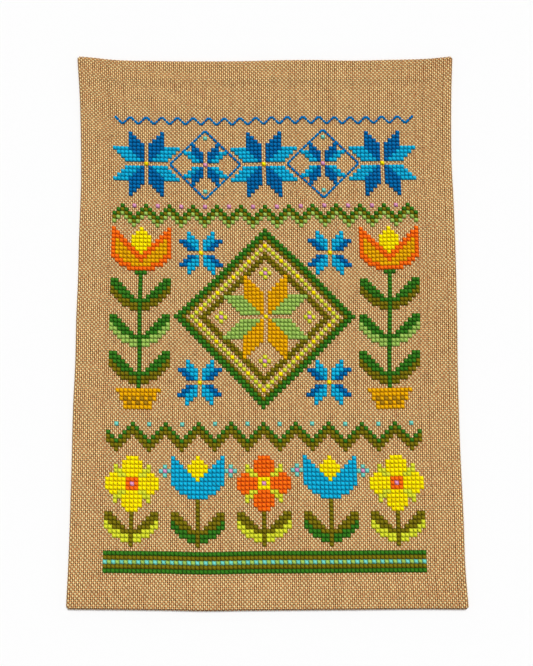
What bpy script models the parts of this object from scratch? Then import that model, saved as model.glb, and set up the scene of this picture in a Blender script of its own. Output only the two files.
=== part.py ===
"""Needlepoint canvas panel: one sheet of canvas, its four edges turned under, lying flat and face up.

Metres, +Z up, with the top edge of the panel towards +Y. The origin is under the middle of the panel's box, at the
height of the surface that it lies on.
"""

import math

import bpy
import numpy as np

# Driving dimensions: the panel's corners, before its sides are drawn in
TOP_WIDTH = 0.364
BOTTOM_WIDTH = 0.351
HEIGHT = 0.513
BOTTOM_SHIFT = 0.0024  # the middle of the bottom edge lies this far to the right of the top edge's middle

# Thicknesses of the cloth
CANVAS_THICK = 0.0012
HEM_THICK = 2 * CANVAS_THICK
BARE_THICK = 0.0018  # one layer of canvas, held a little above the surface by the hem
STITCHED_THICK = 0.0027  # canvas between the wool on its face and the wool on its back

# The slow unevenness of the face: half its height, and the angle in radians that each of its two waves goes through
# across the cloth and down it
RIPPLE = 0.0001
SLANTING_WAVE = (7.0, 4.0)
CROSSING_WAVE = (-3.0, 9.0)

# The hem, and the part of the field that is worked in wool
HEM_DEPTH = 0.018
HEM_STEP = 0.007  # the face falls from the hem to the bare field over this distance
STITCHED_WIDTH = 0.300
STITCHED_HEIGHT = 0.405
STITCHED_FADE = 0.016  # the face rises to the stitched part over this distance

# The folded edge: every edge that turns more sharply than the angle is rounded
FOLD_RADIUS = 0.0010
FOLD_SEGMENTS = 3
FOLD_ANGLE = math.radians(60)

# Grid lines of the sheet: the hem's own lines, as distances in from each edge, and the number of spaces between them
HEM_LINES = (0.0, 0.006, 0.012, HEM_DEPTH, HEM_DEPTH + HEM_STEP)
SPACES_ACROSS = 22
SPACES_DOWN = 32

# How far each side is drawn in from the straight line between its corners: share of the side, inset in metres.
# The upright sides run from top to bottom, the level sides from left to right. Below zero, the side bulges out.
LEFT_SIDE = (
    (0.00, 0.0000),
    (0.05, 0.0021),
    (0.09, 0.0035),
    (0.17, 0.0051),
    (0.24, 0.0059),
    (0.36, 0.0051),
    (0.43, 0.0049),
    (0.50, 0.0040),
    (0.58, 0.0039),
    (0.65, 0.0028),
    (0.78, 0.0023),
    (0.92, 0.0013),
    (1.00, 0.0000),
)
RIGHT_SIDE = (
    (0.00, 0.0000),
    (0.05, 0.0015),
    (0.13, 0.0031),
    (0.21, 0.0038),
    (0.28, 0.0030),
    (0.36, 0.0026),
    (0.50, 0.0028),
    (0.58, 0.0035),
    (0.72, 0.0036),
    (0.85, 0.0023),
    (0.94, 0.0018),
    (1.00, 0.0000),
)
TOP_SIDE = (
    (0.000, 0.0000),
    (0.035, 0.0012),
    (0.090, 0.0035),
    (0.220, 0.0050),
    (0.330, 0.0053),
    (0.450, 0.0050),
    (0.530, 0.0042),
    (0.620, 0.0039),
    (0.730, 0.0045),
    (0.830, 0.0037),
    (0.940, 0.0024),
    (1.000, 0.0000),
)
BOTTOM_SIDE = (
    (0.00, 0.0000),
    (0.11, -0.0003),
    (0.26, -0.0009),
    (0.33, -0.0014),
    (0.46, -0.0010),
    (0.68, -0.0004),
    (0.88, 0.0002),
    (1.00, 0.0000),
)

CANVAS_COLOUR = (0.497, 0.305, 0.127, 1.0)
CANVAS_ROUGHNESS = 0.9


def clear_scene():
    """Remove every object of the scene."""
    for thing in list(bpy.data.objects):
        bpy.data.objects.remove(thing, do_unlink=True)


def smooth_step(value):
    """Go from 0 to 1 with level ends while value does."""
    value = np.clip(value, 0.0, 1.0)
    return value * value * (3.0 - 2.0 * value)


def inset_at(side, shares):
    """Read a side's inset at each share of its length, on one smooth curve through its table."""
    at, inset = np.array(side).T
    slope = np.gradient(inset, at)
    row = np.clip(np.searchsorted(at, shares, side="right") - 1, 0, len(at) - 2)
    span = at[row + 1] - at[row]
    t = (shares - at[row]) / span
    start = (1 + 2 * t) * (1 - t) ** 2 * inset[row] + t * (1 - t) ** 2 * span * slope[row]
    end = t * t * (3 - 2 * t) * inset[row + 1] - t * t * (1 - t) * span * slope[row + 1]
    return start + end


def place_on_cloth(across, down):
    """Turn shares across and down the cloth into x and y, with the panel's box centred on the origin."""
    width = TOP_WIDTH + (BOTTOM_WIDTH - TOP_WIDTH) * down
    x = (across - 0.5) * width + BOTTOM_SHIFT * down
    y = (0.5 - down) * HEIGHT
    x = x + (1 - across) * inset_at(LEFT_SIDE, down) - across * inset_at(RIGHT_SIDE, down)
    y = y + down * inset_at(BOTTOM_SIDE, across) - (1 - down) * inset_at(TOP_SIDE, across)
    lowest = HEIGHT / 2 - min(inset for share, inset in BOTTOM_SIDE)
    return x, y + (lowest - HEIGHT / 2) / 2


def face_height(across, down):
    """Work out the height of the cloth's face above the surface that it lies on."""
    from_side = np.minimum(across, 1 - across) * BOTTOM_WIDTH
    from_end = np.minimum(down, 1 - down) * HEIGHT
    from_edge = np.minimum(from_side, from_end)
    off_hem = smooth_step((from_edge - HEM_DEPTH) / HEM_STEP)
    side_in = smooth_step((from_side - (BOTTOM_WIDTH - STITCHED_WIDTH) / 2) / STITCHED_FADE)
    end_in = smooth_step((from_end - (HEIGHT - STITCHED_HEIGHT) / 2) / STITCHED_FADE)
    height = HEM_THICK + (BARE_THICK - HEM_THICK) * off_hem
    height = height + (STITCHED_THICK - BARE_THICK) * side_in * end_in
    slanting = SLANTING_WAVE[0] * across + SLANTING_WAVE[1] * down
    crossing = CROSSING_WAVE[0] * across + CROSSING_WAVE[1] * down
    return height + RIPPLE * np.sin(slanting) * np.cos(crossing)


def grid_shares(length, spaces):
    """List the grid lines along one direction, as shares of the cloth: close in the hem, even between."""
    hem = np.array(HEM_LINES) / length
    middle = np.linspace(hem[-1], 1 - hem[-1], spaces + 1)
    return np.concatenate([hem[:-1], middle, (1 - hem[:-1])[::-1]])


def canvas_material():
    """Make the tan colour of the canvas."""
    material = bpy.data.materials.new("natural_canvas")
    material.use_nodes = True
    shader = material.node_tree.nodes["Principled BSDF"]
    shader.inputs["Base Color"].default_value = CANVAS_COLOUR
    shader.inputs["Roughness"].default_value = CANVAS_ROUGHNESS
    shader.inputs["Metallic"].default_value = 0.0
    return material


def canvas_panel():
    """Make the cloth: a flat grid on the cloth's outline, thickened upwards to the height of its face."""
    across = grid_shares(BOTTOM_WIDTH, SPACES_ACROSS)
    down = grid_shares(HEIGHT, SPACES_DOWN)
    bpy.ops.mesh.primitive_grid_add(
        x_subdivisions=len(across) - 1,
        y_subdivisions=len(down) - 1,
        size=1.0,
    )
    panel = bpy.context.active_object
    panel.name = "canvas_panel"
    panel.data.name = "canvas_panel"

    weights = panel.vertex_groups.new(name="face_height")
    thickest = STITCHED_THICK + RIPPLE
    for vertex in panel.data.vertices:
        column = round((vertex.co.x + 0.5) * (len(across) - 1))
        row = round((0.5 - vertex.co.y) * (len(down) - 1))
        x, y = place_on_cloth(across[column], down[row])
        vertex.co = (x, y, 0.0)
        height = face_height(across[column], down[row])
        weights.add([vertex.index], float(height / thickest), "REPLACE")

    thicken = panel.modifiers.new("thickness", "SOLIDIFY")
    thicken.thickness = thickest
    thicken.offset = 1.0
    thicken.vertex_group = weights.name

    fold = panel.modifiers.new("folded_edge", "BEVEL")
    fold.limit_method = "ANGLE"
    fold.angle_limit = FOLD_ANGLE
    fold.width = FOLD_RADIUS
    fold.segments = FOLD_SEGMENTS

    panel.data.materials.append(canvas_material())
    panel.data.shade_smooth()
    return panel


def build():
    """Build the panel in a collection of its own."""
    clear_scene()
    collection = bpy.data.collections.new("needlepoint_canvas_panel")
    bpy.context.scene.collection.children.link(collection)
    panel = canvas_panel()
    for holder in list(panel.users_collection):
        holder.objects.unlink(panel)
    collection.objects.link(panel)


build()
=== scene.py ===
"""Needlepoint canvas panel, as it looks: woven canvas with a turned-under hem, worked in wool cross stitch.

The canvas is woven of single threads over a dark sheet of painted shade, so that its holes show dark.
Places on the cloth are counted in threads: across from its left edge, down from its top edge. A count below
zero or past the last thread goes round the folded edge onto the back. The stitches follow a chart of a folk
band sampler, one character for each.
"""

import math

import bpy
import numpy as np
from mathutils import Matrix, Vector


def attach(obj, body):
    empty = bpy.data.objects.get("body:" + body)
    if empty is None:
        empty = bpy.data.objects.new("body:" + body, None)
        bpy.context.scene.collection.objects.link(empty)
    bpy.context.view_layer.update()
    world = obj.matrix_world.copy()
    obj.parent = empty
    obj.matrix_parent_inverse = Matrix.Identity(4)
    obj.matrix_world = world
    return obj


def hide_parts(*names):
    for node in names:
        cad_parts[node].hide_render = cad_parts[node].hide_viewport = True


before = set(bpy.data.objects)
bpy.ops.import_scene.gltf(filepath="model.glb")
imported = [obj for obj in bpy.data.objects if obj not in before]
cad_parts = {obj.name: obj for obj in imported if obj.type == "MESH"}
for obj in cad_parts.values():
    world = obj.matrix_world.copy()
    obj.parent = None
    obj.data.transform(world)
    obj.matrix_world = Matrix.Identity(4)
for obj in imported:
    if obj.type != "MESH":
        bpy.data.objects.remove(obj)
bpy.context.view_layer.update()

BODY = "root"
NODE = "canvas_panel"
SEED = 11

# The panel's corners, before its sides are drawn in, in metres
TOP_WIDTH = 0.364
BOTTOM_WIDTH = 0.351
HEIGHT = 0.513
BOTTOM_SHIFT = 0.0024

# How far each side is drawn in: share of the side, inset in metres. The upright sides run from top to bottom,
# the level sides from left to right. Below zero, the side bulges out.
LEFT_SIDE = (
    (0.00, 0.0000),
    (0.05, 0.0021),
    (0.09, 0.0035),
    (0.17, 0.0051),
    (0.24, 0.0059),
    (0.36, 0.0051),
    (0.43, 0.0049),
    (0.50, 0.0040),
    (0.58, 0.0039),
    (0.65, 0.0028),
    (0.78, 0.0023),
    (0.92, 0.0013),
    (1.00, 0.0000),
)
RIGHT_SIDE = (
    (0.00, 0.0000),
    (0.05, 0.0015),
    (0.13, 0.0031),
    (0.21, 0.0038),
    (0.28, 0.0030),
    (0.36, 0.0026),
    (0.50, 0.0028),
    (0.58, 0.0035),
    (0.72, 0.0036),
    (0.85, 0.0023),
    (0.94, 0.0018),
    (1.00, 0.0000),
)
TOP_SIDE = (
    (0.000, 0.0000),
    (0.035, 0.0012),
    (0.090, 0.0035),
    (0.220, 0.0050),
    (0.330, 0.0053),
    (0.450, 0.0050),
    (0.530, 0.0042),
    (0.620, 0.0039),
    (0.730, 0.0045),
    (0.830, 0.0037),
    (0.940, 0.0024),
    (1.000, 0.0000),
)
BOTTOM_SIDE = (
    (0.00, 0.0000),
    (0.11, -0.0003),
    (0.26, -0.0009),
    (0.33, -0.0014),
    (0.46, -0.0010),
    (0.68, -0.0004),
    (0.88, 0.0002),
    (1.00, 0.0000),
)

CORNER_RADIUS = 0.002
TINY = 1e-9  # keeps a division away from zero

# How far the weave runs out of line, in metres, and the waves that it does so in, aside and above: strength,
# the angle in radians that the wave goes through across the cloth and down it, and the angle at its start
WAVER = 0.0007
WAVES_ASIDE = ((1.0, 5, 11, 0.0), (0.6, -14, 27, 1.0))
WAVES_ABOVE = ((1.0, 9, -6, 2.0), (0.6, 23, 17, 0.0))

# The weave: threads of the canvas, and the hem in threads
THREADS_ACROSS = 188
THREADS_DOWN = 270
HEM_THREADS = 10
PITCH_ACROSS = (TOP_WIDTH + BOTTOM_WIDTH) / 2 / THREADS_ACROSS
PITCH_DOWN = HEIGHT / THREADS_DOWN
THREAD_HALF_WIDTH = 0.36  # of the pitch
THREAD_WAVE = 0.00028  # how far a thread rises where it passes over, and falls where it passes under
OVER_CROWN = 0.00034  # how far its edges lie below its middle where it passes over
UNDER_CROWN = 0.00020  # and where it passes under
SHADE_SHEET_LIFT = -0.00058  # the dark sheet of painted hole shade lies under the threads
SHADE_SHEET_THICK = 0.00008

# Grid lines of the shade sheet near each edge, in threads in from the fold, and the number of spaces between
# the lines of the two edges
SHADE_SHEET_LINES = (-10.0, -6.0, -3.0, -1.4, -1.05, -0.7, -0.35, 0.0, 4.7, 9.4, 10.3, 11.3, 12.3, 13.2)
SHADE_SHEET_SPACES_ACROSS = 40
SHADE_SHEET_SPACES_DOWN = 54

# How the threads vary: from thread to thread, then from crossing to crossing
DRIFT = (0.03, 0.03)  # sideways, in pitches
SWELL = (0.05, 0.09)  # in width
TINT = (0.04, 0.20)  # in colour
CORNER_SHADE = 0.12  # painted shade: how much darker the corners are
CORNER_SHADE_REACH = 0.03

# Painted shade: how bright the colour is on the middle of a thread and on its edges, where it passes over and
# then under. The material stops at 0 and 1, so values beyond them widen a thread's bright parts and its dark
# parts.
OVER_SHADE = (1.60, 0.70)
UNDER_SHADE = (-0.40, -0.60)

# Heights of the middle of the cloth above the surface that it lies on
FOLD_RADIUS = 0.00085
FOLD_REACH = FOLD_RADIUS + THREAD_WAVE
FOLD_TURN = math.pi * FOLD_RADIUS / PITCH_DOWN  # the cloth that the fold takes up, in threads
HEM_MIDDLE = 2 * FOLD_RADIUS + THREAD_WAVE
FIELD_MIDDLE = 0.0012
HEM_DEPTH = 0.018
HEM_FALL = 0.007

# The slow unevenness of the face: half its height, and the angle in radians that each of its two waves goes
# through across the cloth and down it
RIPPLE = 0.0001
SLANTING_WAVE = (7.0, 4.0)
CROSSING_WAVE = (-3.0, 9.0)

# Cross stitches: each covers a square of this many threads. The chart's place on the cloth is in stitches.
STITCH = 2
FIELD_LEFT = 8
FIELD_TOP = 19
FIELD_WIDE = 77
FIELD_HIGH = 108

# Profiles of a strand of wool: share of its length, half width, rise and half thickness in metres, and
# brightness, which is painted shade. The first and the last row are its pointed tips, sunk into the holes.
UNDER_STRAND = (
    (0.00, 0.00000, -0.00030, 0.00000, 0.10),
    (0.15, 0.00092, 0.00036, 0.00042, 0.64),
    (0.50, 0.00128, 0.00060, 0.00046, 0.88),
    (0.85, 0.00092, 0.00036, 0.00042, 0.64),
    (1.00, 0.00000, -0.00030, 0.00000, 0.10),
)
OVER_STRAND = (
    (0.00, 0.00000, -0.00030, 0.00000, 0.15),
    (0.09, 0.00080, 0.00042, 0.00044, 0.72),
    (0.28, 0.00132, 0.00090, 0.00054, 1.00),
    (0.50, 0.00150, 0.00106, 0.00056, 1.06),
    (0.72, 0.00132, 0.00090, 0.00054, 1.00),
    (0.91, 0.00080, 0.00042, 0.00044, 0.72),
    (1.00, 0.00000, -0.00030, 0.00000, 0.15),
)
LINE_STRAND = (
    (0.00, 0.00000, -0.00020, 0.00000, 0.50),
    (0.12, 0.00120, 0.00055, 0.00050, 0.95),
    (0.88, 0.00120, 0.00055, 0.00050, 0.95),
    (1.00, 0.00000, -0.00020, 0.00000, 0.50),
)
BACK_STRAND = (
    (0.00, 0.00000, 0.00020, 0.00000, 0.40),
    (0.12, 0.00110, -0.00074, 0.00028, 1.00),
    (0.88, 0.00110, -0.00074, 0.00028, 1.00),
    (1.00, 0.00000, 0.00020, 0.00000, 0.40),
)
UNDER_SIDES = 5
OVER_SIDES = 6
BACK_SIDES = 4
TWIST_ALONG = 2.2  # grooves of the twist that are met along a strand
TWIST_AROUND = 2.0  # and round it
STRAND_SHADE = (0.80, 0.20)  # painted shade: brightness of a strand's sides, and how far its lighter top and darker bottom are from it
MAP_MARGIN = 0.05  # bare edge round a strand's place on the flat square

# How the strands vary
WOOL_SWELL = 0.06  # in width and thickness
WOOL_BOW = 0.00006  # sideways, in metres
WOOL_TINT = 0.13  # in colour

# Wool: chart letter, name, colour of the wool as it looks in the light, 0 to 255
WOOLS = {
    "B": ("blue", (0, 100, 160)),
    "C": ("sky", (14, 166, 204)),
    "G": ("green", (50, 112, 26)),
    "L": ("leaf", (148, 182, 84)),
    "O": ("olive", (114, 104, 12)),
    "A": ("amber", (220, 162, 2)),
    "D": ("gold", (160, 120, 20)),
    "R": ("orange", (238, 104, 14)),
    "Y": ("yellow", (251, 218, 0)),
    "M": ("lime", (204, 208, 46)),
    "P": ("pink", (206, 140, 178)),
    "Q": ("turquoise", (106, 194, 180)),
    "T": ("teal", (0, 108, 170)),
}
LINE_WOOL = "T"
# The warp and the weft are the same thread: the weft's darker colour is painted shade, as light falls unlike
# on the two.
WARP_COLOUR = (255, 209, 152)
WEFT_COLOUR = (198, 138, 84)
# painted shade that shows through the holes, on the sheet under the threads
HOLE_SHADE_COLOUR = (18, 6, 1)

# Looks of the fibres: grain per metre and its depth, spread of the colours, share of light in the painted
# shadows, patches per metre and their strength, depth of the twist, roughness and sheen
THREAD_LOOK = {
    "grain": 2200.0,
    "grain_depth": 0.00020,
    "spread": 0.25,
    "shadow": 0.22,
    "patch": 14.0,
    "patch_strength": 0.30,
    "twist_depth": 0.0,
    "roughness": 0.85,
    "sheen": 0.0,
}
WOOL_LOOK = {
    "grain": 2600.0,
    "grain_depth": 0.00018,
    "spread": 0.20,
    "shadow": 0.65,
    "patch": 60.0,
    "patch_strength": 0.10,
    "twist_depth": 0.00012,
    "roughness": 0.75,
    "sheen": 0.02,
}
DEEPENING = 1.9  # colours grow deeper in their painted shadows by this power
TINT_START = 0.25  # the tint that threads and strands vary round
TINT_RANGE = 0.50  # the colour goes from its darkest to its brightest over this much
FIBRE_SHARE = 0.50  # how much of that the fine fibres take up
FIBRE_NOISE = {"detail": 3.0, "roughness": 0.65}
PATCH_NOISE = {"detail": 2.0, "roughness": 0.5}
FIBRE_BUMP = 0.6
TWIST_BUMP = 0.8
WEAVE_BUMP = 0.8
SHEEN_ROUGHNESS = 0.4
GLOSS = 0.04

# Where the weft, the holes' painted shade and the warp lie in the range of the weave that is drawn on the
# back
WEFT_PLACE = 0.20
HOLE_PLACE = 0.50
WARP_PLACE = 0.80

# A Mix node has sockets of each kind of value. These are the numbers of its two colours and of their mixture.
MIX_FIRST = 6
MIX_SECOND = 7
MIX_RESULT = 2

# Charts of the left half and the middle of a motif. Figures stand for colours that the design chooses.
TALL_TULIP = (
    "1......2",
    "11....22",
    "111..222",
    "1311.222",
    "13311222",
    "13331122",
    "13333112",
    "11333311",
    ".1133331",
    "..111333",
    "....1111",
    "......GG",
    ".......G",
)
TALL_LEAVES = (
    "GG.....G",
    "GGG....G",
    "6GGG...G",
    "66GGG..G",
    ".66GGG.G",
    "..666GGG",
    "...6666G",
    ".....66G",
    ".......G",
)
POT = (
    "..AAAAAA",
    "...AAAAA",
    "...ADADA",
    "....ADAD",
    "....AAAA",
)
SHORT_TULIP = (
    "1.....2",
    "11...22",
    "111.222",
    "1111222",
    "1111122",
    "1111112",
    "1111111",
    ".111111",
    "..11111",
    "....111",
    "......O",
    "......O",
    "......O",
)
ROSETTE_TOP = (
    ".....11",
    "....111",
    "..3.111",
    "..33111",
    ".113311",
    "1111122",
    "1111124",
)
SHORT_LEAVES = (
    "44....4",
    "444...4",
    "5444..4",
    "55444.4",
    ".555444",
    "..55554",
    "....554",
    "......4",
)
CROSSLET = (
    ".1.",
    "121",
    ".1.",
)

# The top rows of the bands and of the motifs in them, in stitches down the chart
BIG_STARS_TOP = 0
SMALL_STARS_TOP = 3
SMALL_STAR_BEADS = (1, 15)
UPPER_ZIGZAG_TOP = 19
TALL_TULIPS_TOP = 25
TALL_LEAVES_TOPS = ((38, "O"), (47, "L"), (56, "O"))  # and the wool of the leaves' undersides
POTS_TOP = 65
LOWER_ZIGZAG_TOP = 73
FLOWERS_TOP = 81
CROSSLETS_TOP = 83
SHORT_LEAVES_TOP = 94
STRIPES_TOP = 103

# The middles of the motifs, in stitches across the chart
BIG_STARS = (8, 38, 68)
SMALL_STARS = (23, 53)
FIRST_FLOWER = 6
FLOWER_STEP = 16
CROSSLETS = (14, 30, 46, 62)

# The diamond: the row of its middle, its rings, and how far from its middle the motifs in it and round it
# stand. A ring has its inner and its outer reach, its wool, and the wool of every fourth column.
DIAMOND_MIDDLE = 47
DIAMOND_RINGS = (
    (21, 22, "G", None),
    (20, 20, "O", None),
    (18, 18, "M", "Y"),
    (15, 16, "O", None),
)
STAR_CROSSLETS_OUT = 11
CORNER_STARS_OUT = 16
TALL_TULIPS_OUT = 31

# The reach of each kind of star from its heart
BIG_STAR = 8
SMALL_STAR = 5
MIDDLE_STAR = 10

# The thin lines, in threads: the diamond's middle below the top of the chart and its reach, and the fine
# zigzag's start above the top of the chart and its rise
LINE_DIAMOND_MIDDLE = 17
LINE_DIAMOND_REACH = 18
LINE_ZIGZAG_ABOVE = 8
LINE_ZIGZAG_RISE = 4

# Camera: the lens on a 36 mm long side, its distance, how far it leans back, and the point it looks at
SENSOR = 36.0
LENS = 35.0
CAMERA_DISTANCE = 0.593
CAMERA_LEAN = math.radians(7.2)
CAMERA_AIM = (0.0016, -0.01335, 0.0018)

# Light: where each lamp stands from the panel, its strength, and how wide it looks from there
KEY_LIGHT = ((0.30, 1.0, 1.15), 2.6, math.radians(16))
FILL_LIGHT = ((-0.8, -0.5, 1.2), 0.35, math.radians(40))
SKY_ABOVE = 0.34
SKY_AT_HORIZON = 0.95
WALL_TOP = 0.10  # the walls' light fades into the ceiling's from here, where straight up is 1
CEILING_EDGE = 0.35
FLOOR_SIZE = 20.0
FLOOR_GREY = 0.92
FLOOR_ROUGHNESS = 0.9


def smooth_step(value):
    """Go from 0 to 1 with level ends while value does."""
    value = np.clip(value, 0.0, 1.0)
    return value * value * (3.0 - 2.0 * value)


def inset_at(side, shares):
    """Read a side's inset at each share of its length, on one smooth curve through its table."""
    at, inset = np.array(side).T
    slope = np.gradient(inset, at)
    row = np.clip(np.searchsorted(at, shares, side="right") - 1, 0, len(at) - 2)
    span = at[row + 1] - at[row]
    t = (shares - at[row]) / span
    start = (1 + 2 * t) * (1 - t) ** 2 * inset[row] + t * (1 - t) ** 2 * span * slope[row]
    end = t * t * (3 - 2 * t) * inset[row + 1] - t * t * (1 - t) * span * slope[row + 1]
    return start + end


def round_corners(across, down):
    """Move shares across and down that lie near a corner of the cloth inwards, to round the corner."""
    from_side = np.minimum(across, 1 - across) * TOP_WIDTH
    from_end = np.minimum(down, 1 - down) * HEIGHT
    aside = np.maximum(CORNER_RADIUS - from_side, 0)
    above = np.maximum(CORNER_RADIUS - from_end, 0)
    pull = 1 - np.maximum(aside, above) / np.maximum(np.hypot(aside, above), TINY)
    across = across + np.where(across < 0.5, 1, -1) * aside * pull / TOP_WIDTH
    down = down + np.where(down < 0.5, 1, -1) * above * pull / HEIGHT
    return across, down


def waver(across, down):
    """Work out how far the weave runs out of line in x and in y: most in the middle of the cloth."""
    amount = WAVER * np.sin(math.pi * np.clip(across, 0, 1)) * np.sin(math.pi * np.clip(down, 0, 1))
    aside, above = (
        sum(
            strength * np.sin(by_across * across + by_down * down + start)
            for strength, by_across, by_down, start in waves
        )
        for waves in (WAVES_ASIDE, WAVES_ABOVE)
    )
    return amount * aside, amount * above


def place_on_cloth(across, down):
    """Turn shares across and down the cloth into x and y. The fold stands out from 0 and 1 to the outline."""
    across, down = round_corners(across, down)
    across = across + (1 - 2 * across) * FOLD_REACH / TOP_WIDTH
    down = down + (1 - 2 * down) * FOLD_REACH / HEIGHT
    width = TOP_WIDTH + (BOTTOM_WIDTH - TOP_WIDTH) * down
    x = (across - 0.5) * width + BOTTOM_SHIFT * down
    y = (0.5 - down) * HEIGHT
    x = x + (1 - across) * inset_at(LEFT_SIDE, down) - across * inset_at(RIGHT_SIDE, down)
    y = y + down * inset_at(BOTTOM_SIDE, across) - (1 - down) * inset_at(TOP_SIDE, across)
    lowest = HEIGHT / 2 - min(inset for share, inset in BOTTOM_SIDE)
    aside, above = waver(across, down)
    return x + aside, y + (lowest - HEIGHT / 2) / 2 + above


def middle_height(across, down):
    """Work out the height of the middle of the upper layer of cloth."""
    from_side = np.minimum(across, 1 - across) * BOTTOM_WIDTH
    from_end = np.minimum(down, 1 - down) * HEIGHT
    off_hem = smooth_step((np.minimum(from_side, from_end) - HEM_DEPTH) / HEM_FALL)
    slanting = SLANTING_WAVE[0] * across + SLANTING_WAVE[1] * down
    crossing = CROSSING_WAVE[0] * across + CROSSING_WAVE[1] * down
    ripple = np.sin(slanting) * np.cos(crossing)
    return HEM_MIDDLE + (FIELD_MIDDLE - HEM_MIDDLE + RIPPLE * ripple) * off_hem


def round_the_fold(count, last, pitch):
    """Return the count seen from above, how far it has turned round the fold, and towards which side."""
    side = np.where(count < 0, -1.0, 1.0)
    past = np.maximum(np.maximum(-count, count - last), 0.0) * pitch
    turn = np.minimum(past / FOLD_RADIUS, math.pi)
    out = np.where(turn < math.pi, FOLD_RADIUS * np.sin(turn), math.pi * FOLD_RADIUS - past)
    edge = np.where(count < 0, 0.0, last)
    flat = np.where(past > 0, edge + side * out / pitch, count)
    return flat, turn, side


def cloth_points(across, down, lift=0.0):
    """Turn counts of threads and a lift off the middle of the cloth, along its face, into points."""
    across, down, lift = np.broadcast_arrays(np.asarray(across, float), down, lift)
    flat_across, turn_across, side_across = round_the_fold(across, THREADS_ACROSS, PITCH_ACROSS)
    flat_down, turn_down, side_down = round_the_fold(down, THREADS_DOWN, PITCH_DOWN)
    share_across = flat_across / THREADS_ACROSS
    share_down = flat_down / THREADS_DOWN
    x, y = place_on_cloth(share_across, share_down)
    turn = np.maximum(turn_across, turn_down)
    x = x + lift * np.sin(turn_across) * side_across
    y = y - lift * np.sin(turn_down) * side_down
    z = middle_height(share_across, share_down) - FOLD_RADIUS * (1 - np.cos(turn)) + lift * np.cos(turn)
    return np.stack([x, y, z], axis=-1)


def linear(colour):
    """Turn a colour of 0 to 255 into the shader's linear values, by the sRGB curve."""
    share = np.array(colour) / 255
    return np.where(share <= 0.04045, share / 12.92, ((share + 0.055) / 1.055) ** 2.4)


def make_piece(name, points, faces, places, values, materials):
    """Make a smooth mesh that rides on the panel. places maps each corner of each face onto a flat square."""
    mesh = bpy.data.meshes.new(name)
    mesh.from_pydata(points.tolist(), [], faces)
    for key, value in values.items():
        mesh.attributes.new(key, "FLOAT", "POINT").data.foreach_set("value", value.astype(np.float32))
    layer = mesh.uv_layers.new(name="OFBake")
    layer.data.foreach_set("uv", places.astype(np.float32).ravel())
    mesh.shade_smooth()
    for material in materials:
        mesh.materials.append(material)
    piece = bpy.data.objects.new(name, mesh)
    bpy.context.scene.collection.objects.link(piece)
    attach(piece, BODY)
    return piece


def add_node(tree, kind, **settings):
    """Add a shader node and set its named properties and inputs."""
    node = tree.nodes.new(kind)
    for key, value in settings.items():
        if hasattr(node, key):
            setattr(node, key, value)
        else:
            node.inputs[key.replace("_", " ").title()].default_value = value
    return node


def add_sum(tree, first, factor, second):
    """Add a node that gives first times factor plus second."""
    node = add_node(tree, "ShaderNodeMath", operation="MULTIPLY_ADD")
    tree.links.new(first, node.inputs[0])
    node.inputs[1].default_value = factor
    tree.links.new(second, node.inputs[2])
    return node.outputs["Value"]


def start_material(name, roughness, sheen=0.0):
    """Make a material with a matt shader and return it with its tree and shader."""
    material = bpy.data.materials.new(name)
    material.use_nodes = True
    tree = material.node_tree
    shader = tree.nodes["Principled BSDF"]
    shader.inputs["Roughness"].default_value = roughness
    shader.inputs["Sheen Weight"].default_value = sheen
    shader.inputs["Sheen Roughness"].default_value = SHEEN_ROUGHNESS
    shader.inputs["Specular IOR Level"].default_value = GLOSS
    return material, tree, shader


def fibre_material(name, colour, look):
    """Make a fibre's material: its colour varies by strand, patch and fibre, and sinks into painted shade."""
    material, tree, shader = start_material(name, look["roughness"], look["sheen"])
    link = tree.links.new
    place = add_node(tree, "ShaderNodeTexCoord")
    fibres = add_node(tree, "ShaderNodeTexNoise", scale=look["grain"], **FIBRE_NOISE)
    patches = add_node(tree, "ShaderNodeTexNoise", scale=look["patch"], **PATCH_NOISE)
    link(place.outputs["Object"], fibres.inputs["Vector"])
    link(place.outputs["Object"], patches.inputs["Vector"])
    tint = add_node(tree, "ShaderNodeAttribute", attribute_name="tint")
    fine = add_sum(tree, fibres.outputs["Fac"], FIBRE_SHARE, tint.outputs["Fac"])
    both = add_sum(tree, patches.outputs["Fac"], look["patch_strength"], fine)

    base = linear(colour)
    shades = add_node(tree, "ShaderNodeValToRGB")
    dark, bright = shades.color_ramp.elements
    dark.position = look["patch_strength"] / 2
    dark.color = (*(base * (1 - look["spread"])), 1.0)
    bright.position = look["patch_strength"] / 2 + TINT_RANGE
    bright.color = (*np.minimum(base * (1 + look["spread"]), 1.0), 1.0)
    link(both, shades.inputs["Fac"])

    # painted shade: the shade attribute mixes the colour towards its darker shadow colour
    painted_shade_mix = add_node(tree, "ShaderNodeMix", data_type="RGBA", clamp_factor=True)
    shade = add_node(tree, "ShaderNodeAttribute", attribute_name="shade")
    link(shade.outputs["Fac"], painted_shade_mix.inputs["Factor"])
    painted_shade_mix.inputs[MIX_FIRST].default_value = (*(base**DEEPENING * look["shadow"]), 1.0)
    link(shades.outputs["Color"], painted_shade_mix.inputs[MIX_SECOND])
    link(painted_shade_mix.outputs[MIX_RESULT], shader.inputs["Base Color"])

    bump = add_node(tree, "ShaderNodeBump", distance=look["grain_depth"], strength=FIBRE_BUMP)
    link(fibres.outputs["Fac"], bump.inputs["Height"])
    if look["twist_depth"]:
        twist = add_node(tree, "ShaderNodeAttribute", attribute_name="twist")
        turn = add_node(tree, "ShaderNodeMath", operation="SINE")
        link(twist.outputs["Fac"], turn.inputs[0])
        ply = add_node(tree, "ShaderNodeBump", distance=look["twist_depth"], strength=TWIST_BUMP)
        link(turn.outputs["Value"], ply.inputs["Height"])
        link(bump.outputs["Normal"], ply.inputs["Normal"])
        bump = ply
    link(bump.outputs["Normal"], shader.inputs["Normal"])
    return material


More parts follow.
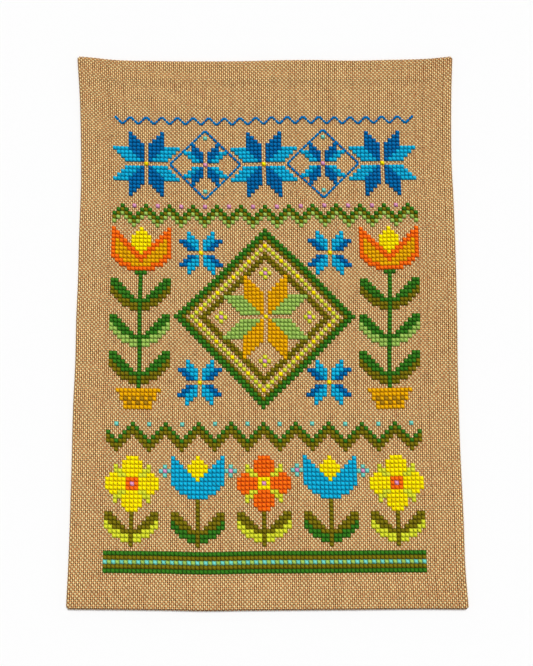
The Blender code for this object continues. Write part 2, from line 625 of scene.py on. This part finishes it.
def woven_material(name):
    """Make the weave of the canvas as it shows from the back, drawn from the count of threads each way.

    The product of the two sines is above zero where the warp shows, below zero where the weft shows, and zero
    at the edges of every thread, where the holes' painted shade is drawn.
    """
    material, tree, shader = start_material(name, THREAD_LOOK["roughness"])
    link = tree.links.new
    waves = []
    for key in ("across", "down"):
        count = add_node(tree, "ShaderNodeAttribute", attribute_name=key)
        turn = add_node(tree, "ShaderNodeMath", operation="MULTIPLY")
        turn.inputs[1].default_value = math.pi
        link(count.outputs["Fac"], turn.inputs[0])
        sine = add_node(tree, "ShaderNodeMath", operation="SINE")
        link(turn.outputs["Value"], sine.inputs[0])
        waves.append(sine.outputs["Value"])
    weave = add_node(tree, "ShaderNodeMath", operation="MULTIPLY")
    link(waves[0], weave.inputs[0])
    link(waves[1], weave.inputs[1])
    share = add_node(tree, "ShaderNodeMapRange")
    share.inputs["From Min"].default_value = -1.0
    link(weave.outputs["Value"], share.inputs["Value"])
    shades = add_node(tree, "ShaderNodeValToRGB")
    weft, warp = shades.color_ramp.elements
    weft.position = WEFT_PLACE
    weft.color = (*linear(WEFT_COLOUR), 1.0)
    warp.position = WARP_PLACE
    warp.color = (*linear(WARP_COLOUR), 1.0)
    # painted shade in the holes between the threads
    hole = shades.color_ramp.elements.new(HOLE_PLACE)
    hole.color = (*linear(HOLE_SHADE_COLOUR), 1.0)
    link(share.outputs["Result"], shades.inputs["Fac"])
    link(shades.outputs["Color"], shader.inputs["Base Color"])
    thread = add_node(tree, "ShaderNodeMath", operation="ABSOLUTE")
    link(weave.outputs["Value"], thread.inputs[0])
    bump = add_node(tree, "ShaderNodeBump", distance=THREAD_WAVE, strength=WEAVE_BUMP)
    link(thread.outputs["Value"], bump.inputs["Height"])
    link(bump.outputs["Normal"], shader.inputs["Normal"])
    return material


def strip_faces(valid, columns):
    """List the faces of strips. valid marks the stations that exist, columns counts the points at each."""
    number = np.full(valid.shape, -1)
    number[valid] = np.arange(valid.sum())
    joined = valid[:, :-1] & valid[:, 1:]
    first = number[:, :-1][joined] * columns
    second = number[:, 1:][joined] * columns
    strips = [
        np.stack([first + k, second + k, second + k + 1, first + k + 1], axis=1)
        for k in range(columns - 1)
    ]
    return np.concatenate(strips)


def fit_square(places):
    """Fit places into the square from 0 to 1."""
    return (places - places.min(axis=0)) / np.ptp(places, axis=0)


def inside_mitre(across, down):
    """Tell which stations of the weave exist: the face, and the hem as far as the corners' mitres."""
    out_across = np.maximum(-across, across - THREADS_ACROSS)
    out_down = np.maximum(-down, down - THREADS_DOWN)
    side_hem = (out_down < 0) & (-out_down >= out_across - FOLD_TURN)
    end_hem = (out_across < 0) & (-out_across >= out_down - FOLD_TURN)
    return side_hem | end_hem


def uneven(random, amount, shape):
    """Draw numbers round zero that vary from thread to thread and from crossing to crossing."""
    by_thread, by_crossing = amount
    return random.normal(0.0, by_thread, (shape[0], 1)) + random.normal(0.0, by_crossing, shape)


def painted_corner_shade(across, down):
    """Work out the painted shade at counts of threads across and down: darkest at the corners."""
    from_side = np.minimum(across, THREADS_ACROSS - across) * PITCH_ACROSS
    from_end = np.minimum(down, THREADS_DOWN - down) * PITCH_DOWN
    return CORNER_SHADE * np.exp(-(from_side**2 + from_end**2) / CORNER_SHADE_REACH**2)


def weave_threads(name, upright, first, last, material, random):
    """Make the threads numbered first to last of the warp, if upright, or of the weft, as waving strips."""
    length = THREADS_DOWN if upright else THREADS_ACROSS
    threads = np.arange(first, last) + 0.5
    stations = np.arange(-HEM_THREADS, length + HEM_THREADS) + 0.5
    thread, station = np.meshgrid(threads, stations, indexing="ij")
    over = (np.floor(thread) + np.floor(station)) % 2 == (0 if upright else 1)
    half = THREAD_HALF_WIDTH * (1.0 + uneven(random, SWELL, thread.shape))
    drift = uneven(random, DRIFT, thread.shape)
    crossing = (thread, station) if upright else (station, thread)
    # the tint varies at random, less the painted shade at the corners
    tint = TINT_START + uneven(random, TINT, thread.shape) - painted_corner_shade(*crossing)
    rise = np.where(over, THREAD_WAVE, -THREAD_WAVE)
    valid = inside_mitre(*crossing)

    points = []
    places = []
    shades = []
    for side in ((-1, 0, 1) if upright else (1, 0, -1)):
        beside = thread + drift + side * half
        across, down = (beside, station) if upright else (station, beside)
        fall = abs(side) * np.where(over, OVER_CROWN, UNDER_CROWN)
        points.append(cloth_points(across, down, rise - fall)[valid])
        places.append(np.stack([across, down], axis=-1)[valid])
        # painted shade: bright where the thread passes over, dark where it dives under
        shades.append(np.where(over, OVER_SHADE[abs(side)], UNDER_SHADE[abs(side)])[valid])
    columns = len(points)
    points = np.stack(points, axis=1).reshape(-1, 3)
    places = fit_square(np.stack(places, axis=1).reshape(-1, 2))
    values = {"tint": np.repeat(tint[valid], columns), "shade": np.stack(shades, axis=1).ravel()}
    faces = strip_faces(valid, columns)
    places = places[faces].reshape(-1, 2)
    return make_piece(name, points, faces.tolist(), places, values, [material])


def shade_sheet_lines(last, spaces):
    """List the shade sheet's grid lines in one direction: close at the fold and off the hem, wide elsewhere.
    """
    near = np.array(SHADE_SHEET_LINES)
    between = np.linspace(near[-1], last - near[-1], spaces + 1)[1:-1]
    return np.concatenate([near, between, last - near[::-1]])


def rim_edges(quads):
    """List the edges that only one face uses, in that face's direction."""
    edges = np.concatenate([quads[:, [k, (k + 1) % 4]] for k in range(4)]).tolist()
    used = {tuple(edge) for edge in edges}
    return np.array([edge for edge in edges if (edge[1], edge[0]) not in used])


def canvas_shade_sheet(hole_shade_material, back_material):
    """Make the thin sheet under the threads, its hem folded under and mitred: painted shade in front, woven
    on the back.
    """
    across = shade_sheet_lines(THREADS_ACROSS, SHADE_SHEET_SPACES_ACROSS)
    down = shade_sheet_lines(THREADS_DOWN, SHADE_SHEET_SPACES_DOWN)
    grid_across, grid_down = np.meshgrid(across, down, indexing="ij")
    out_across = np.maximum(-grid_across, grid_across - THREADS_ACROSS)
    out_down = np.maximum(-grid_down, grid_down - THREADS_DOWN)
    under_across = np.maximum(out_across - FOLD_TURN, 0)
    under_down = np.maximum(out_down - FOLD_TURN, 0)
    middle_across = THREADS_ACROSS / 2
    middle_down = THREADS_DOWN / 2
    mitred_across = middle_across + (grid_across - middle_across) * (1 - under_down / middle_across)
    mitred_down = middle_down + (grid_down - middle_down) * (1 - under_across / middle_down)

    number = np.arange(grid_across.size).reshape(grid_across.shape)
    corner = (out_across > 0) & (out_down > 0)
    cut = corner[:-1, :-1] | corner[1:, :-1] | corner[:-1, 1:] | corner[1:, 1:]
    quads = np.stack(
        [number[:-1, :-1], number[:-1, 1:], number[1:, 1:], number[1:, :-1]], axis=-1
    )[~cut]
    used, quads = np.unique(quads, return_inverse=True)
    quads = quads.reshape(-1, 4)
    across = mitred_across.ravel()[used]
    down = mitred_down.ravel()[used]

    layers = [cloth_points(across, down, SHADE_SHEET_LIFT + side * SHADE_SHEET_THICK / 2) for side in (1, -1)]
    rim = rim_edges(quads)
    rim_faces = np.stack([rim[:, 1], rim[:, 0], rim[:, 0] + len(used), rim[:, 1] + len(used)], axis=1)
    faces = np.concatenate([quads, quads[:, [0, 3, 2, 1]] + len(used), rim_faces])
    flat = fit_square(np.stack([across, down], axis=-1)) * (0.5, 1.0)
    places = np.concatenate([flat, flat + (0.5, 0.0)])
    values = {
        "tint": np.full(2 * len(used), TINT_START),
        "shade": np.ones(2 * len(used)),
        "across": np.tile(across, 2),
        "down": np.tile(down, 2),
    }
    shade_sheet = make_piece(
        "canvas_shade_sheet",
        np.concatenate(layers),
        faces.tolist(),
        places[faces].reshape(-1, 2),
        values,
        [hole_shade_material, back_material],
    )
    material_index = np.repeat([0, 1], [len(quads), len(faces) - len(quads)])
    shade_sheet.data.polygons.foreach_set("material_index", material_index.astype(np.int32))
    return shade_sheet


def weave_canvas(random):
    """Make the canvas's sheet of painted hole shade and its threads, in four pieces."""
    warp = fibre_material("canvas_warp", WARP_COLOUR, THREAD_LOOK)
    weft = fibre_material("canvas_weft", WEFT_COLOUR, THREAD_LOOK)
    # painted shade for the holes, on the front of the sheet under the threads
    dark = fibre_material("canvas_shade_sheet", HOLE_SHADE_COLOUR, THREAD_LOOK)
    back = woven_material("canvas_back")
    half_across = THREADS_ACROSS // 2
    half_down = THREADS_DOWN // 2
    last_across = THREADS_ACROSS + HEM_THREADS
    last_down = THREADS_DOWN + HEM_THREADS
    threads = [
        weave_threads("warp_left", True, -HEM_THREADS, half_across, warp, random),
        weave_threads("warp_right", True, half_across, last_across, warp, random),
        weave_threads("weft_upper", False, -HEM_THREADS, half_down, weft, random),
        weave_threads("weft_lower", False, half_down, last_down, weft, random),
    ]
    return canvas_shade_sheet(dark, back), threads


def mirrored(rows):
    """Complete a chart of a left half and its middle."""
    return tuple(row + row[-2::-1] for row in rows)


def turned_over(rows):
    """Complete a chart of a top half and its middle."""
    return rows + rows[-2::-1]


def in_colours(rows, colours):
    """Replace the figures in a chart with wools."""
    return tuple("".join(colours.get(mark, mark) for mark in row) for row in rows)


def put(chart, rows, middle, top):
    """Work a motif into the chart, by its middle column and its top row."""
    left = middle - len(rows[0]) // 2
    for down, row in enumerate(rows):
        for across, mark in enumerate(row):
            if mark != ".":
                chart[top + down, left + across] = mark


def star(reach, upright, level, heart):
    """Chart an eight-pointed star: four upright and four level lozenges round a heart."""
    size = 2 * reach + 1
    rows = [["."] * size for _ in range(size)]
    tip = reach // 2
    for down in range(reach):
        first, last = (tip, tip + down) if down <= tip else (down, reach - 1)
        for across in range(first, min(last, reach - 1) + 1):
            for near in (down, size - 1 - down):
                for far in (across, size - 1 - across):
                    if down != across:
                        rows[far][near] = level
                    rows[near][far] = upright
    rows[reach][reach] = heart
    return tuple("".join(row) for row in rows)


def diamond(chart, middle, centre, inner, outer, wool, every_fourth):
    """Work a diamond-shaped ring between two reaches from its centre. Every fourth column may change wool."""
    for down in range(FIELD_HIGH):
        for across in range(FIELD_WIDE):
            reach = abs(across - middle) + abs(down - centre)
            if inner <= reach <= outer:
                marked = every_fourth and (across - middle) % 4 == 0
                chart[down, across] = every_fourth if marked else wool


def zigzag(chart, top, wools, step, beads):
    """Work a zigzag over the whole width, with a row of each wool, and a stitch over each valley."""
    for across in range(FIELD_WIDE):
        phase = (across - FIELD_WIDE // 2) % step
        rise = min(phase, step - phase)
        for row, wool in enumerate(wools):
            chart[top + rise + row, across] = wool
        if phase == step // 2:
            chart[top, across] = beads


def stripes(chart, top, wools):
    """Work stripes over the whole width. A stripe of two wools changes at each stitch."""
    for row, pair in enumerate(wools):
        for across in range(FIELD_WIDE):
            chart[top + row, across] = pair[across % len(pair)]


def design_sampler():
    """Chart the sampler: stars, a zigzag, a star in a diamond between tulips, a zigzag, flowers, stripes."""
    chart = np.full((FIELD_HIGH, FIELD_WIDE), ".")
    middle = FIELD_WIDE // 2
    for across in BIG_STARS:
        put(chart, star(BIG_STAR, "B", "C", "Y"), across, BIG_STARS_TOP)
    for across in SMALL_STARS:
        put(chart, star(SMALL_STAR, "B", "C", "P"), across, SMALL_STARS_TOP)
        for down in SMALL_STAR_BEADS:
            chart[down, across] = "Q"
    zigzag(chart, UPPER_ZIGZAG_TOP, "GOL", 6, "P")

    centre = DIAMOND_MIDDLE
    for ring in DIAMOND_RINGS:
        diamond(chart, middle, centre, *ring)
    put(chart, star(MIDDLE_STAR, "A", "L", "Y"), middle, centre - MIDDLE_STAR)
    crosslet = in_colours(CROSSLET, {"1": "M", "2": "P"})
    for right, below in ((0, 1), (0, -1), (1, 0), (-1, 0)):
        across = middle + right * STAR_CROSSLETS_OUT
        down = centre + below * STAR_CROSSLETS_OUT
        put(chart, crosslet, across, down - len(crosslet) // 2)
    for across in (-CORNER_STARS_OUT, CORNER_STARS_OUT):
        for down in (-CORNER_STARS_OUT, CORNER_STARS_OUT):
            put(chart, star(SMALL_STAR, "C", "B", "Y"), middle + across, centre + down - SMALL_STAR)
    for across in (middle - TALL_TULIPS_OUT, middle + TALL_TULIPS_OUT):
        tulip = in_colours(TALL_TULIP, {"1": "R", "2": "Y", "3": "A"})
        put(chart, mirrored(tulip), across, TALL_TULIPS_TOP)
        for top, underside in TALL_LEAVES_TOPS:
            leaves = in_colours(TALL_LEAVES, {"6": underside})
            put(chart, mirrored(leaves), across, top)
        put(chart, mirrored(POT), across, POTS_TOP)
    zigzag(chart, LOWER_ZIGZAG_TOP, "GOO", 8, "Q")

    tulip = in_colours(mirrored(SHORT_TULIP), {"1": "C", "2": "Y"})
    rosette = turned_over(mirrored(ROSETTE_TOP))
    yellow = in_colours(rosette, {"1": "Y", "2": "R", "3": "M", "4": "P"})
    orange = in_colours(rosette, {"1": "R", "2": "Y", "3": "M", "4": "P"})
    for place, flower in enumerate((yellow, tulip, orange, tulip, yellow)):
        across = FIRST_FLOWER + FLOWER_STEP * place
        leaves = in_colours(SHORT_LEAVES, {"4": "O", "5": "G" if flower is tulip else "M"})
        put(chart, flower, across, FLOWERS_TOP)
        put(chart, mirrored(leaves), across, SHORT_LEAVES_TOP)
    for across in CROSSLETS:
        put(chart, in_colours(CROSSLET, {"1": "Q", "2": "P"}), across, CROSSLETS_TOP)
    stripes(chart, STRIPES_TOP, ("G", "O", "QL", "O", "G"))
    return chart


def line_diamond(middle, centre, reach):
    """List the thin line stitches of a diamond, as starts and ends in threads."""
    steps = np.arange(0, reach, STITCH)
    starts = []
    ends = []
    for right in (-1, 1):
        for up in (-1, 1):
            for corners, along in ((starts, steps), (ends, steps + STITCH)):
                corners.append(np.stack([middle + right * along, centre + up * (reach - along)], axis=1))
    return np.concatenate(starts).astype(float), np.concatenate(ends).astype(float)


def line_zigzag(first, last, top, rise):
    """List the thin line stitches of a zigzag between two columns, as starts and ends in threads."""
    across = np.arange(first, last + 1, STITCH)
    phase = (np.arange(len(across)) * STITCH) % (2 * rise)
    down = top + np.minimum(phase, 2 * rise - phase)
    corners = np.stack([across, down], axis=1).astype(float)
    return corners[:-1], corners[1:]


def design_lines():
    """List the thin line stitches: a diamond round each small star, and a fine zigzag above the stars."""
    left = FIELD_LEFT * STITCH
    top = FIELD_TOP * STITCH
    right = left + FIELD_WIDE * STITCH
    half = STITCH // 2
    parts = [
        line_diamond(left + across * STITCH + half, top + LINE_DIAMOND_MIDDLE, LINE_DIAMOND_REACH)
        for across in SMALL_STARS
    ]
    parts.append(line_zigzag(left + half, right - half, top - LINE_ZIGZAG_ABOVE, LINE_ZIGZAG_RISE))
    starts, ends = zip(*parts)
    return np.concatenate(starts), np.concatenate(ends)


def strand_points(starts, ends, profile, sides, random):
    """Shape strands between holes of the canvas. Returns the points of each and its painted shade and twist.
    """
    share, half_width, rise, half_thick, bright = np.array(profile).T
    count = len(starts)
    size = 1.0 + random.normal(0.0, WOOL_SWELL, (count, 1, 1))
    bow = random.normal(0.0, WOOL_BOW, (count, 1, 1)) * np.sin(math.pi * share)[:, None]
    along = starts[:, None] + (ends - starts)[:, None] * share[:, None]
    middle = cloth_points(along[..., 0], along[..., 1], rise)
    heading = middle[:, -1] - middle[:, 0]
    heading[:, 2] = 0.0
    heading /= np.linalg.norm(heading, axis=1, keepdims=True)
    left = np.stack([-heading[:, 1], heading[:, 0], np.zeros(count)], axis=1)

    around = np.arange(sides) / sides
    angle = 2 * math.pi * around - math.pi / 2
    aside = size * half_width[:, None] * np.cos(angle) + bow
    above = size * half_thick[:, None] * np.sin(angle)
    ring_points = middle[:, :, None] + left[:, None, None] * aside[..., None]
    ring_points[..., 2] += above
    # painted shade round the strand: lighter on top, darker underneath
    ring_painted_shade = bright[:, None] * (STRAND_SHADE[0] + STRAND_SHADE[1] * np.sin(angle))
    ring_twist = 2 * math.pi * (TWIST_ALONG * share[:, None] + TWIST_AROUND * around)

    inner = slice(1, -1)
    rings = ring_points[:, inner].reshape(count, -1, 3)
    points = np.concatenate([middle[:, :1], rings, middle[:, -1:]], axis=1)
    bright = np.concatenate([bright[:1], ring_painted_shade[inner].ravel(), bright[-1:]])
    twist = np.concatenate([ring_twist[:1, 0], ring_twist[inner].ravel(), ring_twist[-1:, 0]])
    return points, np.tile(bright, count), np.tile(twist, count)


def strand_faces(rings, sides):
    """List one strand's quads and triangles: each corner's point, and its place along and round it."""
    quads = []
    triangles = []
    last = rings * sides + 1
    for side in range(sides):
        after = (side + 1) % sides
        for ring in range(rings - 1):
            low = 1 + ring * sides
            high = low + sides
            quads.append(
                (
                    (low + side, ring + 1, side),
                    (low + after, ring + 1, side + 1),
                    (high + after, ring + 2, side + 1),
                    (high + side, ring + 2, side),
                )
            )
        end = last - sides
        triangles.append(((0, 0, side + 0.5), (1 + after, 1, side + 1), (1 + side, 1, side)))
        triangles.append(
            ((last, rings + 1, side + 0.5), (end + side, rings, side), (end + after, rings, side + 1))
        )
    return np.array(quads), np.array(triangles)


def wool_piece(name, batches, material, random):
    """Join batches of strands, each with its starts, ends, profile and sides, into one piece."""
    total = sum(len(starts) for starts, ends, profile, sides in batches)
    cells = math.ceil(math.sqrt(total))
    points = []
    faces = []
    places = []
    values = {"tint": [], "shade": [], "twist": []}
    first_point = 0
    first_strand = 0
    for starts, ends, profile, sides in batches:
        count = len(starts)
        shape, bright, twist = strand_points(starts, ends, profile, sides, random)
        size = shape.shape[1]
        strand = np.arange(count)
        offset = (first_point + strand * size)[:, None, None]
        cell = np.stack(np.divmod(first_strand + strand, cells), axis=1)[:, None, None]
        for kind in strand_faces(len(profile) - 2, sides):
            corners = offset + kind[None, :, :, 0].astype(int)
            faces.extend(corners.reshape(-1, kind.shape[1]).tolist())
            within = MAP_MARGIN + (1 - 2 * MAP_MARGIN) * kind[None, :, :, 1:] / (len(profile) - 1, sides)
            places.append(((cell + within) / cells).reshape(-1, 2))
        tint = TINT_START + random.normal(0.0, WOOL_TINT, count)
        points.append(shape.reshape(-1, 3))
        values["tint"].append(np.repeat(tint, size))
        values["shade"].append(bright)
        values["twist"].append(twist)
        first_point += count * size
        first_strand += count
    values = {key: np.concatenate(value) for key, value in values.items()}
    return make_piece(name, np.concatenate(points), faces, np.concatenate(places), values, [material])


def cross_stitches(chart, wool):
    """List the strands of every stitch in one wool: under and over strands on the face, a bar on the back."""
    down, across = np.nonzero(chart == wool)
    left = (across + FIELD_LEFT) * STITCH
    top = (down + FIELD_TOP) * STITCH
    top_left = np.stack([left, top], axis=1).astype(float)
    top_right = top_left + (STITCH, 0)
    bottom_left = top_left + (0, STITCH)
    bottom_right = top_left + (STITCH, STITCH)
    return [
        (bottom_left, top_right, UNDER_STRAND, UNDER_SIDES),
        (top_left, bottom_right, OVER_STRAND, OVER_SIDES),
        (bottom_left, top_left, BACK_STRAND, BACK_SIDES),
    ]


def work_wool(random):
    """Make one piece of each wool: the cross stitches of the chart, and the thin lines."""
    chart = design_sampler()
    starts, ends = design_lines()
    pieces = []
    for mark, (name, colour) in WOOLS.items():
        if mark == LINE_WOOL:
            batches = [(starts, ends, LINE_STRAND, UNDER_SIDES), (ends, starts, BACK_STRAND, BACK_SIDES)]
        else:
            batches = cross_stitches(chart, mark)
        material = fibre_material(f"wool_{name}", colour, WOOL_LOOK)
        pieces.append(wool_piece(f"wool_{name}", batches, material, random))
    return pieces


def make_floor():
    """Make the plain pale floor."""
    bpy.ops.mesh.primitive_plane_add(size=FLOOR_SIZE)
    floor = bpy.context.active_object
    floor.name = "floor"
    material, tree, shader = start_material("floor", FLOOR_ROUGHNESS)
    shader.inputs["Base Color"].default_value = (FLOOR_GREY, FLOOR_GREY, FLOOR_GREY, 1.0)
    floor.data.materials.append(material)


def make_sun(name, place, strength, width):
    """Make a soft distant lamp that shines from a place towards the middle of the panel."""
    data = bpy.data.lights.new(name, "SUN")
    data.energy = strength
    data.angle = width
    light = bpy.data.objects.new(name, data)
    light.location = place
    light.rotation_euler = Vector(place).to_track_quat("Z", "Y").to_euler()
    bpy.context.scene.collection.objects.link(light)


def make_sky():
    """Make the even white light of the studio, with bright walls round a dimmer ceiling."""
    world = bpy.data.worlds.new("studio")
    world.use_nodes = True
    tree = world.node_tree
    place = add_node(tree, "ShaderNodeTexCoord")
    parts = add_node(tree, "ShaderNodeSeparateXYZ")
    tree.links.new(place.outputs["Generated"], parts.inputs["Vector"])
    height = add_node(tree, "ShaderNodeMapRange")
    height.inputs["From Min"].default_value = WALL_TOP
    height.inputs["From Max"].default_value = CEILING_EDGE
    height.inputs["To Min"].default_value = SKY_AT_HORIZON
    height.inputs["To Max"].default_value = SKY_ABOVE
    tree.links.new(parts.outputs["Z"], height.inputs["Value"])
    background = tree.nodes["Background"]
    background.inputs["Color"].default_value = (1.0, 1.0, 1.0, 1.0)
    tree.links.new(height.outputs["Result"], background.inputs["Strength"])
    bpy.context.scene.world = world
    bpy.context.scene.view_settings.view_transform = "Standard"


def make_camera():
    """Place the camera over the panel, leaning back a little, with the panel's top edge upwards."""
    data = bpy.data.cameras.new("camera")
    data.lens = LENS
    data.sensor_width = SENSOR
    camera = bpy.data.objects.new("camera", data)
    back = np.array([0.0, -math.sin(CAMERA_LEAN), math.cos(CAMERA_LEAN)])
    camera.location = np.array(CAMERA_AIM) + back * CAMERA_DISTANCE
    camera.rotation_euler = (CAMERA_LEAN, 0.0, 0.0)
    bpy.context.scene.collection.objects.link(camera)
    bpy.context.scene.camera = camera


make_camera()
make_floor()
make_sun("key", *KEY_LIGHT)
make_sun("fill", *FILL_LIGHT)
make_sky()
random = np.random.default_rng(SEED)
shade_sheet, threads = weave_canvas(random)
wools = work_wool(random)
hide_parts(NODE)
